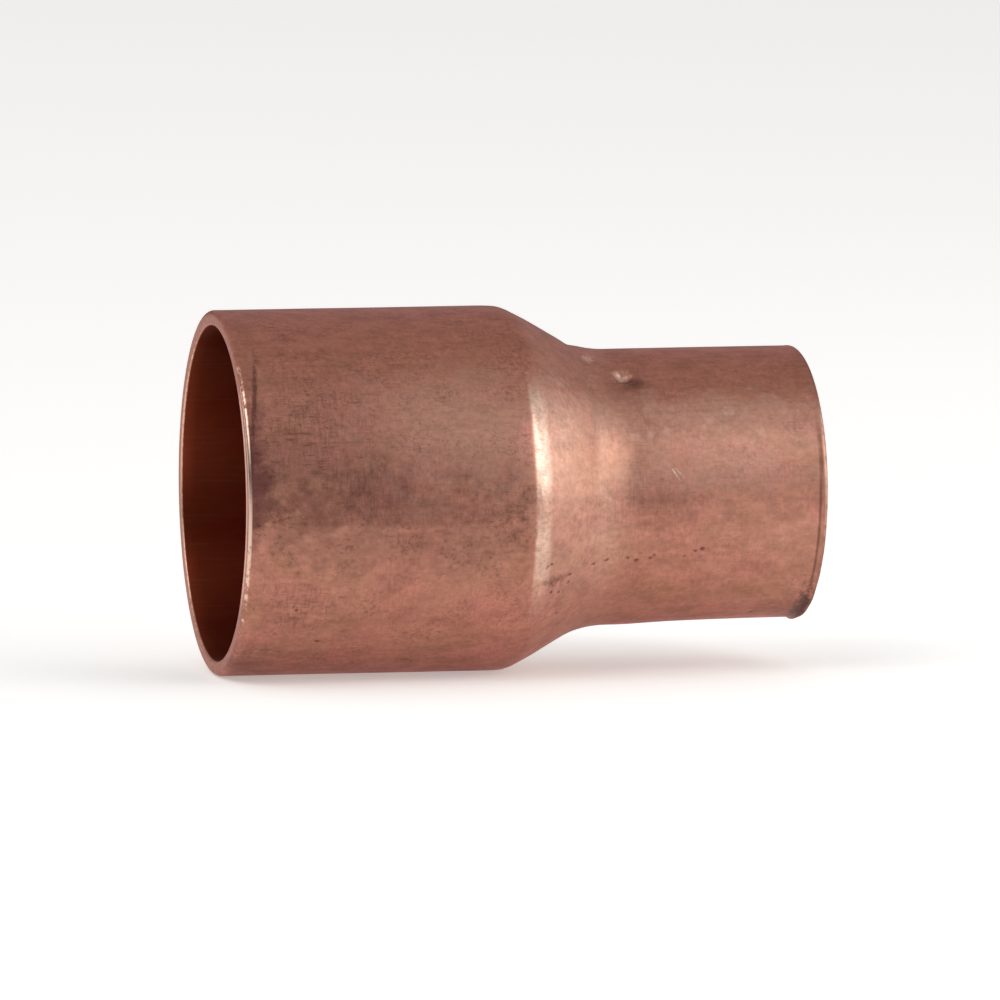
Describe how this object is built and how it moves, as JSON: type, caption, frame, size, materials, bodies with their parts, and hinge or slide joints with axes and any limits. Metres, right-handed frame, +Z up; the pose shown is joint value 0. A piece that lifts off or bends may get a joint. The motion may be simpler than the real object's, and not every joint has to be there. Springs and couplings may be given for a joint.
{
  "type": "concentric reducer",
  "caption": "Wrought copper solder-joint concentric reducer: a 3/4 in tube socket narrows over a short cone to a 1/2 in tube socket with a staked tube stop.",
  "frame": {"origin": "centre of the large socket's mouth, on the axis, in the plane of its rim", "axes": "+X along the axis from the large socket to the small one, +Z up, as the fitting lies on its side"},
  "size_m": [0.0399, 0.0244, 0.0244],
  "materials": {
    "copper": "satin, air-browned wrought copper with lengthwise drawing marks"
  },
  "bodies": {
    "root": {"reducer_body": "copper"}
  },
  "joints": []
}
